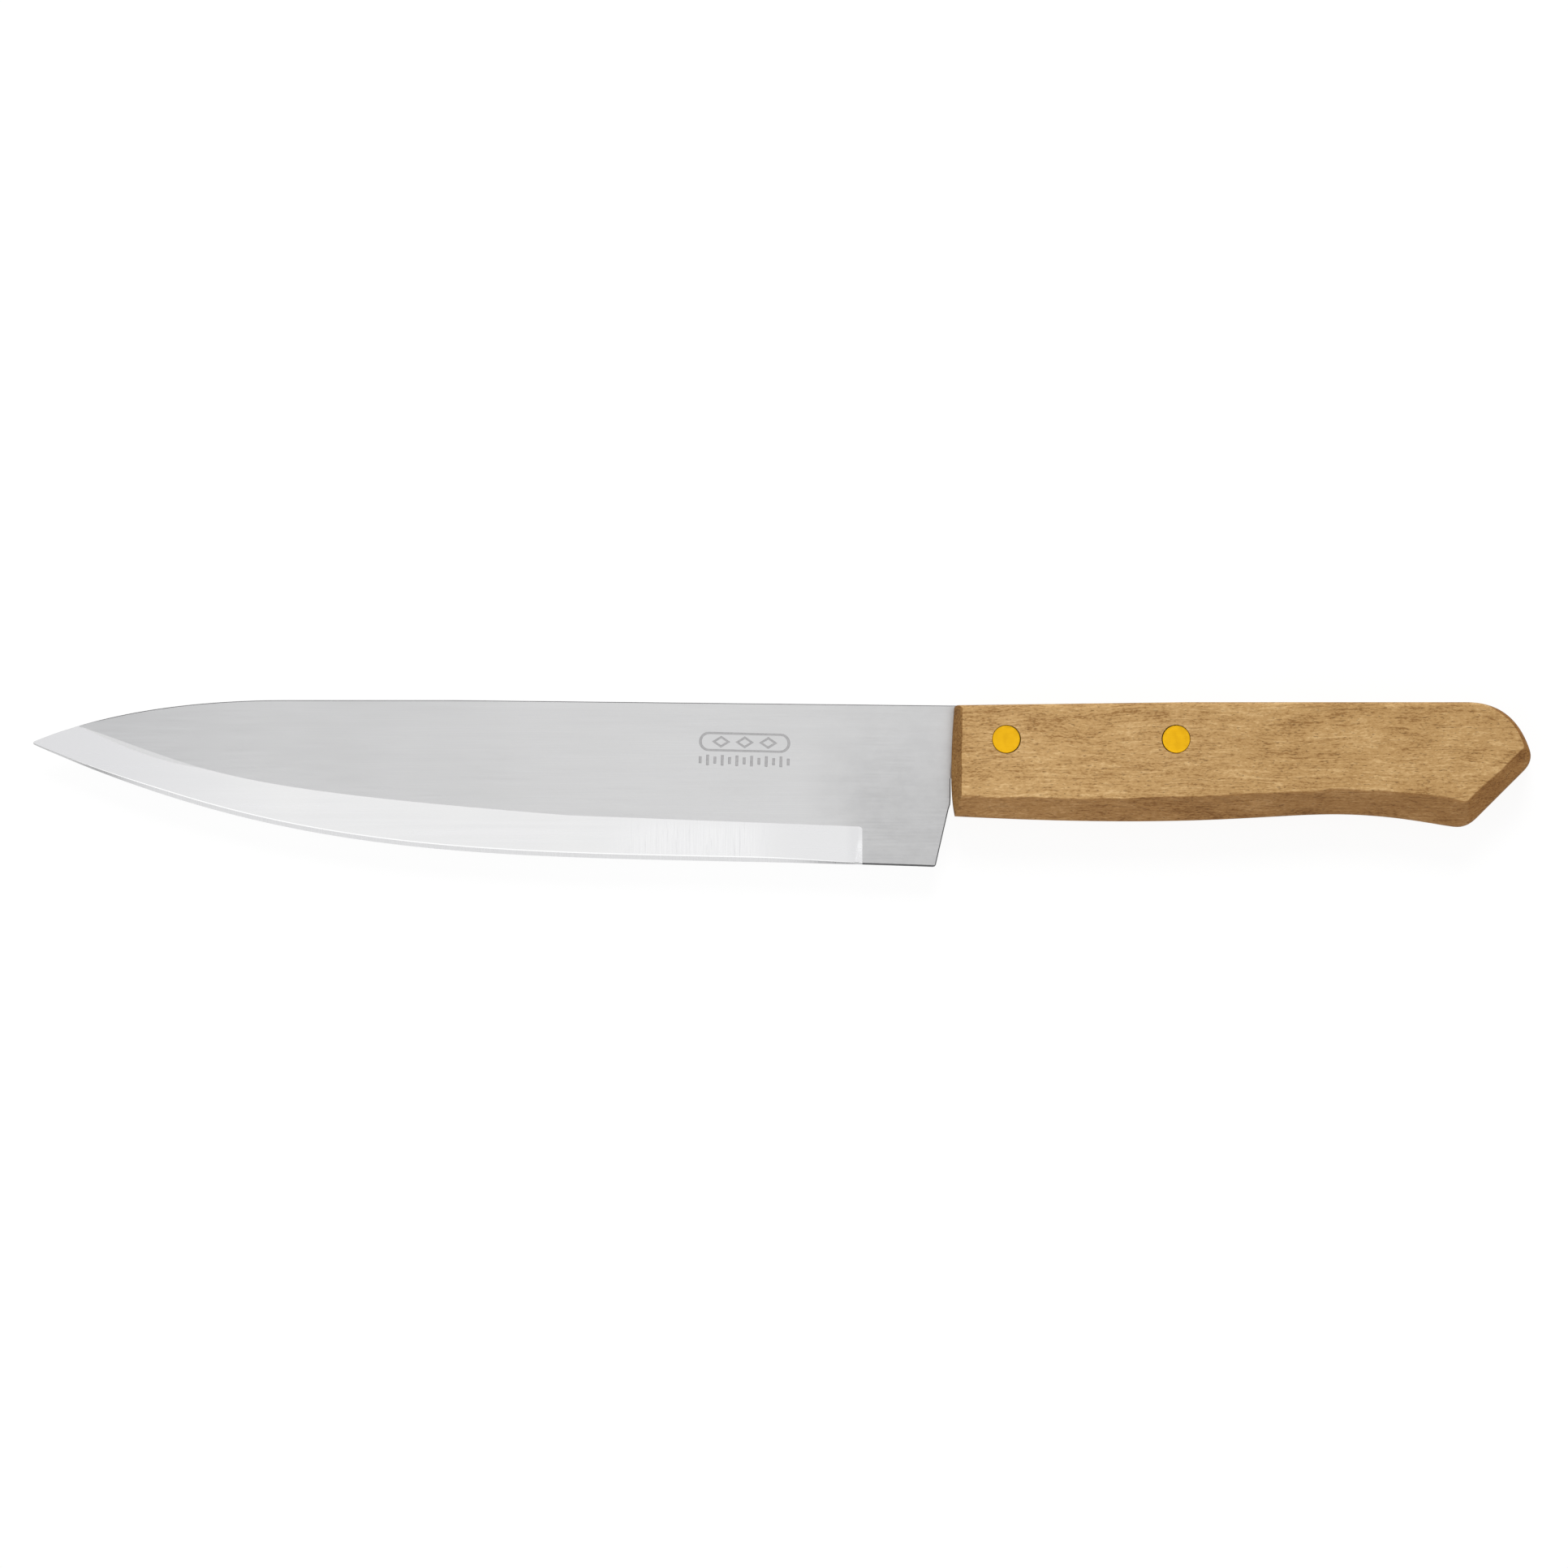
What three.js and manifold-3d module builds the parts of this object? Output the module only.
// A chef's knife lying on its side: a ground steel blade whose half tang sits in a saw slot in a
// one-piece wooden handle, held there by two cutler's rivets, each a male and a female half.
// Millimetres. +X runs from the blade's tip to the handle's butt, +Y from the cutting edge to the
// spine, and +Z up from the surface that the handle lies on. The origin is under the middle of the
// knife. Outlines are written as (distance along the knife, drop below the spine's highest point).

import * as THREE from 'three';
import { LoftGeometry } from 'three/addons/geometries/LoftGeometry.js';
import { mergeVertices } from 'three/addons/utils/BufferGeometryUtils.js';
import Module from 'manifold-3d';

const wasm = await Module();
wasm.setup();

// ---- Driving dimensions ----

const BLADE_LENGTH = 203; // from the tip to the front of the handle, 8 inches
const BLADE_THICKNESS = 1.5;
const HANDLE_THICKNESS = 18;
const GAP = 0.3; // clearance between neighbouring pieces

// Blade, measured back from the tip
const SHOULDER = BLADE_LENGTH - 0.7; // rear of the blade, clear of the handle's hollow front
const SHOULDER_DROP = 20; // below this the heel slopes away from the handle
const HEEL_BEND = 4; // height of the bend between the shoulder and the sloping heel
const HEEL = 199.1; // station of the heel's lowest corner
const HEEL_DROP = 36.9; // depth of the blade at its heel
const HEEL_CORNER = 0.6; // rounding of that corner
const SPINE_END_DROP = 1.2; // the spine falls this much towards the handle
const TIP_DROP = 9.2; // the tip's drop below the spine
const TIP_HEIGHT = 0.5; // the tip is blunt by this much
const BEVEL_START = 10.2; // where the top of the bevel leaves the spine
const SPINE_LAND = 0.02; // share of the blade's height left above the bevel at the tip
const BEVEL_END = 182.9; // where the grinding stops, ahead of the heel
const BEVEL_RUN_OUT = 0.6; // length of the ramp that ends the bevel
const EDGE_THICKNESS = 0.1; // flat left on the cutting edge
const HONE_THICKNESS = 0.44; // blade thickness where the honed edge meets the bevel
const HONE_HEIGHT = 1.2; // height of the honed edge along the belly
const HONE_HEIGHT_AT_TIP = 0.3;
const BELLY_START = 55;
const HEEL_BREAK = 0.35; // broken corner along the bottom of the unground heel

// Tang, measured back from the front of the handle
const TANG_LENGTH = 57;
const TANG_FRONT_DROP = 17.4;
const TANG_END_DROP = 16;
const TANG_TOP_DROP = 0.65; // drop of the tang's upper edge at its end
const TANG_ROOT = 8; // how far the tang's outline reaches into the blade
const TANG_CORNER = 2;

// Rivets, measured back from the front of the handle
const RIVET_STATIONS = { front: 11.7, rear: 49.2 };
const RIVET_DROP = 8.6;
const HEAD_RADIUS = 3.175; // quarter-inch heads
const HEAD_THICKNESS = 1.6;
const HEAD_RECESS = 0.15; // how far the heads lie below the wood
const HEAD_EASE = 0.2;
const SHANK_RADIUS = 1;
const BARREL_RADIUS = 2.1;
const BARREL_LENGTH = 10;
const BARREL_WALL_AT_HEAD = 1.3; // metal left between the barrel's bore and its head
const SHANK_LENGTH = 11;
const RIVET_SEGMENTS = 40;

const MIDDLE = HANDLE_THICKNESS / 2; // height of the blade's middle plane
const FAR = 100; // reach of the cutting tools past the piece that they cut

// ---- Materials ----

const steel = new THREE.MeshStandardMaterial({ color: 0xcfcfd1, roughness: 0.32, metalness: 1 });
const wood = new THREE.MeshStandardMaterial({ color: 0xc39d6b, roughness: 0.6, metalness: 0 });
const brass = new THREE.MeshStandardMaterial({ color: 0xecb525, roughness: 0.3, metalness: 1 });

// ---- Helpers ----

// A point of an outline: distance along the knife, and drop below the spine's highest point
function at(distance, drop) {
  return new THREE.Vector2(distance, -drop);
}

// Two points make a line, three a quadratic curve and four a cubic one
function curveThrough(pairs) {
  const points = pairs.map(([distance, drop]) => at(distance, drop));
  if (points.length === 2) return new THREE.LineCurve(...points);
  if (points.length === 3) return new THREE.QuadraticBezierCurve(...points);
  return new THREE.CubicBezierCurve(...points);
}

// The y of a path at x, for a path that runs from low x to high x
function heightAt(path, x) {
  let low = 0;
  let high = 1;
  for (let i = 0; i < 40; i++) {
    const middle = (low + high) / 2;
    if (path.getPoint(middle).x < x) low = middle;
    else high = middle;
  }
  return path.getPoint((low + high) / 2).y;
}

function toSolid(geometry) {
  geometry.deleteAttribute('normal');
  geometry.deleteAttribute('uv');
  const merged = mergeVertices(geometry);
  return new wasm.Manifold(new wasm.Mesh({
    numProp: 3,
    vertProperties: new Float32Array(merged.attributes.position.array),
    triVerts: new Uint32Array(merged.index.array),
  }));
}

function toGeometry(solid) {
  const mesh = solid.getMesh();
  const geometry = new THREE.BufferGeometry();
  geometry.setAttribute('position', new THREE.BufferAttribute(mesh.vertProperties, 3));
  geometry.setIndex(new THREE.BufferAttribute(mesh.triVerts, 1));
  geometry.computeVertexNormals();
  return geometry;
}

// A flat plate of a shape, centred on the blade's middle plane
function plate(shape, thickness) {
  const geometry = new THREE.ExtrudeGeometry(shape, {
    depth: thickness,
    bevelEnabled: false,
    curveSegments: 6,
  });
  return geometry.translate(0, 0, MIDDLE - thickness / 2);
}

// A rod along Z
function rod(radius, x, y, bottom, top) {
  const geometry = new THREE.CylinderGeometry(radius, radius, top - bottom, RIVET_SEGMENTS);
  return geometry.rotateX(Math.PI / 2).translate(x, y, (bottom + top) / 2);
}

function named(name, geometry, material) {
  const mesh = new THREE.Mesh(geometry, material);
  mesh.name = name;
  return mesh;
}

// ---- Blade ----

const spineLine = new THREE.CurvePath();
spineLine.add(curveThrough([[0, TIP_DROP], [22.2, 0], [56, 0]]));
spineLine.add(curveThrough([[56, 0], [93, 0]]));
spineLine.add(curveThrough([[93, 0], [SHOULDER, SPINE_END_DROP]]));

const edgeLine = new THREE.CurvePath();
const tipBottom = TIP_DROP + TIP_HEIGHT;
edgeLine.add(curveThrough([[0, tipBottom], [65.2, 38.8], [110, 33.5], [HEEL, HEEL_DROP]]));
edgeLine.add(curveThrough([[HEEL, HEEL_DROP], [BLADE_LENGTH, HEEL_DROP]]));

const bevelLine = new THREE.CurvePath();
bevelLine.add(curveThrough([[BEVEL_START, 5.7], [39.9, 15.9], [39.9, 19.3], [118.2, 25.4]]));
bevelLine.add(curveThrough([[118.2, 25.4], [BEVEL_END, 27.95]]));

const HALF_BLADE = BLADE_THICKNESS / 2;
const HALF_HONE = HONE_THICKNESS / 2;

// The honed edge widens from the tip to the belly
function honeHeight(x) {
  const widened = THREE.MathUtils.smoothstep(x, 0, BELLY_START);
  return THREE.MathUtils.lerp(HONE_HEIGHT_AT_TIP, HONE_HEIGHT, widened);
}

// One upright slice of the blade, as the points of a ring around it
function bladeSlice(x, ground) {
  const spine = heightAt(spineLine, x);
  const edge = heightAt(edgeLine, x);
  const hone = edge + (ground ? honeHeight(x) : HEEL_BREAK);
  const halfHone = ground ? HALF_HONE : HALF_BLADE;
  const halfEdge = ground ? EDGE_THICKNESS / 2 : HALF_BLADE - HEEL_BREAK / 2;

  // Ahead of its start the bevel takes in the whole face, to just below the spine
  let bevel = heightAt(bevelLine, Math.min(x, BEVEL_END));
  let halfSpine = HALF_BLADE;
  let halfBevel = HALF_BLADE;
  if (x < BEVEL_START) {
    const fullHeight = heightAt(bevelLine, BEVEL_START) - heightAt(edgeLine, BEVEL_START);
    const slope = (HALF_BLADE - HALF_HONE) / fullHeight;
    bevel = spine - SPINE_LAND * (spine - hone);
    halfSpine = HALF_HONE + slope * (spine - hone);
    halfBevel = HALF_HONE + slope * (bevel - hone);
  }

  const side = [[spine, halfSpine], [bevel, halfBevel], [hone, halfHone], [edge, halfEdge]];
  const front = side.map(([y, z]) => new THREE.Vector3(x, y, MIDDLE + z));
  const back = side.map(([y, z]) => new THREE.Vector3(x, y, MIDDLE - z));
  return [...back, ...front.reverse()].reverse();
}

function groundBlade() {
  const slices = [];
  const tipSteps = 5;
  for (let i = 0; i < tipSteps; i++) slices.push(bladeSlice(BEVEL_START * (i / tipSteps), true));
  const bellySteps = 36;
  const groundLength = BEVEL_END - BEVEL_RUN_OUT - BEVEL_START;
  for (let i = 0; i <= bellySteps; i++) {
    const x = BEVEL_START + groundLength * (i / bellySteps) ** 1.4;
    slices.push(bladeSlice(x, true));
  }
  slices.push(bladeSlice(BEVEL_END, false));
  slices.push(bladeSlice(SHOULDER, false));
  return new LoftGeometry(slices, { capStart: true, capEnd: true });
}

// The steel that is cut away behind the sloping heel
function heelCut() {
  const shape = new THREE.Shape();
  shape.moveTo(SHOULDER, -SHOULDER_DROP);
  const bendEnd = SHOULDER_DROP + HEEL_BEND;
  shape.quadraticCurveTo(SHOULDER, HEEL_BEND / 2 - bendEnd, SHOULDER - HEEL_BEND / 10, -bendEnd);
  shape.lineTo(HEEL + HEEL_CORNER / 4, HEEL_CORNER - HEEL_DROP);
  shape.quadraticCurveTo(HEEL, -HEEL_DROP, HEEL - HEEL_CORNER, -HEEL_DROP);
  shape.lineTo(HEEL - HEEL_CORNER, -FAR);
  shape.lineTo(BLADE_LENGTH + FAR, -FAR);
  shape.lineTo(BLADE_LENGTH + FAR, -SHOULDER_DROP);
  return plate(shape, FAR);
}

// The tang's outline starts inside the blade and ends in two round corners
function tangPlate() {
  const start = SHOULDER - TANG_ROOT;
  const end = BLADE_LENGTH + TANG_LENGTH;
  const shape = new THREE.Shape();
  shape.moveTo(start, -TANG_FRONT_DROP);
  shape.lineTo(end - TANG_CORNER, -TANG_END_DROP);
  shape.quadraticCurveTo(end, -TANG_END_DROP, end, TANG_CORNER - TANG_END_DROP);
  shape.lineTo(end, -TANG_TOP_DROP - TANG_CORNER);
  shape.quadraticCurveTo(end, -TANG_TOP_DROP, end - TANG_CORNER, -TANG_TOP_DROP);
  shape.lineTo(SHOULDER, -SPINE_END_DROP);
  shape.lineTo(start, -SPINE_END_DROP);
  return plate(shape, BLADE_THICKNESS);
}

function makeBlade() {
  let steelBody = toSolid(groundBlade()).subtract(toSolid(heelCut())).add(toSolid(tangPlate()));
  for (const station of Object.values(RIVET_STATIONS)) {
    const x = BLADE_LENGTH + station;
    const hole = rod(BARREL_RADIUS + GAP, x, -RIVET_DROP, MIDDLE - FAR, MIDDLE + FAR);
    steelBody = steelBody.subtract(toSolid(hole));
  }
  return named('blade', toGeometry(steelBody), steel);
}

// ---- Handle ----

// Each stretch of the handle's edge, anticlockwise from its lower front corner and measured back
// from its front. rim is the widest outline, crease is where the chamfer meets the flat face, and
// depth is how far below the face the chamfer reaches, where the stretch starts.
const HANDLE_EDGE = [
  { // palm swell
    rim: [[0.4, 25.65], [52.7, 28.35], [68.4, 25.2], [84, 25.2]],
    crease: [[1.8, 21.2], [32, 22.4], [55, 21.6], [85, 19.8]],
    depth: 4, steps: 14,
  },
  { // hook at the end of the grip
    rim: [[84, 25.2], [97, 25.2], [106.5, 27.5], [110.6, 27.95]],
    crease: [[85, 19.8], [91, 19.6], [102, 20.6], [112, 22.3]],
    depth: 4.5, steps: 8,
  },
  { // lower corner of the butt
    rim: [[110.6, 27.95], [113.2, 28.25], [115.4, 26.05]],
    crease: [[112, 22.3], [113.3, 22.6], [113.9, 21.9]],
    depth: 4.5, steps: 6,
  },
  { // sloping butt
    rim: [[115.4, 26.05], [125.8, 15.65]],
    crease: [[113.9, 21.9], [125.2, 11.3]],
    depth: 4.2, steps: 2,
  },
  { // point of the butt
    rim: [[125.8, 15.65], [128, 13.45], [127.1, 10.9]],
    crease: [[125.2, 11.3], [125.8, 10.7], [125.9, 9.9]],
    depth: 3, steps: 6,
  },
  { // round upper corner of the butt
    rim: [[127.1, 10.9], [124.3, 2.5], [118.6, 0.45], [113.2, 0.45]],
    crease: [[125.9, 9.9], [123.3, 3.4], [118.2, 1.2], [113.3, 1.2]],
    depth: 1, steps: 12,
  },
  { // back
    rim: [[113.2, 0.45], [51, 0.45]],
    crease: [[113.3, 1.2], [51, 1.2]],
    depth: 0.8, steps: 1,
  },
  { // back, falling a little towards the blade
    rim: [[51, 0.45], [1.2, 1.1]],
    crease: [[51, 1.2], [2.6, 1.9]],
    depth: 0.8, steps: 1,
  },
  { // upper front corner
    rim: [[1.2, 1.1], [0.3, 1.15], [0.25, 2]],
    crease: [[2.6, 1.9], [1.9, 2], [1.85, 2.6]],
    depth: 1, steps: 4,
  },
  { // front, slightly hollow
    rim: [[0.25, 2], [-1.1, 19], [0.4, 25.65]],
    crease: [[1.85, 2.6], [1.8, 21.2]],
    depth: 2.6, steps: 6,
  },
];

// Four rings, from the crease on the lower face round the rim to the crease on the upper face
function handleBlank() {
  const rings = [[], [], [], []];
  HANDLE_EDGE.forEach((stretch, index) => {
    const next = HANDLE_EDGE[(index + 1) % HANDLE_EDGE.length];
    const rim = curveThrough(stretch.rim);
    const crease = curveThrough(stretch.crease);
    for (let i = 0; i < stretch.steps; i++) {
      const t = i / stretch.steps;
      const depth = THREE.MathUtils.lerp(stretch.depth, next.depth, t);
      const outer = rim.getPoint(t);
      const inner = crease.getPoint(t);
      rings[0].push(new THREE.Vector3(inner.x, inner.y, 0));
      rings[1].push(new THREE.Vector3(outer.x, outer.y, depth));
      rings[2].push(new THREE.Vector3(outer.x, outer.y, HANDLE_THICKNESS - depth));
      rings[3].push(new THREE.Vector3(inner.x, inner.y, HANDLE_THICKNESS));
    }
  });
  return new LoftGeometry(rings, { capStart: true, capEnd: true });
}

// The saw slot is open at the front and along the back
function tangSlot() {
  const end = TANG_LENGTH + GAP;
  const shape = new THREE.Shape();
  shape.moveTo(-FAR, -TANG_FRONT_DROP - GAP);
  shape.lineTo(0, -TANG_FRONT_DROP - GAP);
  shape.lineTo(end, -TANG_END_DROP - GAP);
  shape.lineTo(end, FAR);
  shape.lineTo(-FAR, FAR);
  return plate(shape, BLADE_THICKNESS + 2 * GAP);
}

function makeHandle() {
  const counterbore = HEAD_RECESS + HEAD_THICKNESS + GAP;
  let block = toSolid(handleBlank()).subtract(toSolid(tangSlot()));
  for (const station of Object.values(RIVET_STATIONS)) {
    const bores = [
      rod(BARREL_RADIUS + GAP, station, -RIVET_DROP, -FAR, FAR),
      rod(HEAD_RADIUS + GAP, station, -RIVET_DROP, -FAR, counterbore),
      rod(HEAD_RADIUS + GAP, station, -RIVET_DROP, HANDLE_THICKNESS - counterbore, FAR),
    ];
    for (const bore of bores) block = block.subtract(toSolid(bore));
  }
  return named('handle', toGeometry(block), wood);
}

// ---- Rivets ----

// Profiles are (radius, height above the outside of the head)
function turned(profile) {
  const points = profile.map(([radius, height]) => new THREE.Vector2(radius, height));
  return new THREE.LatheGeometry(points, RIVET_SEGMENTS).rotateX(Math.PI / 2);
}

function maleHalf() {
  const reach = HEAD_THICKNESS + SHANK_LENGTH;
  return turned([
    [0, 0],
    [HEAD_RADIUS - HEAD_EASE, 0],
    [HEAD_RADIUS, HEAD_EASE],
    [HEAD_RADIUS, HEAD_THICKNESS],
    [SHANK_RADIUS, HEAD_THICKNESS],
    [SHANK_RADIUS, reach],
    [0, reach],
  ]);
}

function femaleHalf() {
  const reach = HEAD_THICKNESS + BARREL_LENGTH;
  return turned([
    [0, 0],
    [HEAD_RADIUS - HEAD_EASE, 0],
    [HEAD_RADIUS, HEAD_EASE],
    [HEAD_RADIUS, HEAD_THICKNESS],
    [BARREL_RADIUS, HEAD_THICKNESS],
    [BARREL_RADIUS, reach],
    [SHANK_RADIUS + GAP, reach],
    [SHANK_RADIUS + GAP, BARREL_WALL_AT_HEAD],
    [0, BARREL_WALL_AT_HEAD],
  ]);
}

// The male half enters from the upper face and the female half from the lower one
function makeRivet(name, station) {
  const male = named(`${name}_rivet_male`, maleHalf(), brass);
  male.rotation.x = Math.PI;
  male.position.z = HANDLE_THICKNESS - HEAD_RECESS;
  const female = named(`${name}_rivet_female`, femaleHalf(), brass);
  female.position.z = HEAD_RECESS;
  const rivet = new THREE.Group().add(male, female);
  rivet.position.set(station, -RIVET_DROP, 0);
  return rivet;
}

// ---- Assembly ----

const handleGroup = new THREE.Group();
handleGroup.position.x = BLADE_LENGTH;
handleGroup.add(makeHandle());
for (const [name, station] of Object.entries(RIVET_STATIONS)) {
  handleGroup.add(makeRivet(name, station));
}

const knife = new THREE.Group();
knife.add(makeBlade(), handleGroup);

// The origin goes under the middle of the whole knife
const centre = new THREE.Box3().setFromObject(knife).getCenter(new THREE.Vector3());
knife.position.set(-centre.x, -centre.y, 0);

export default knife;
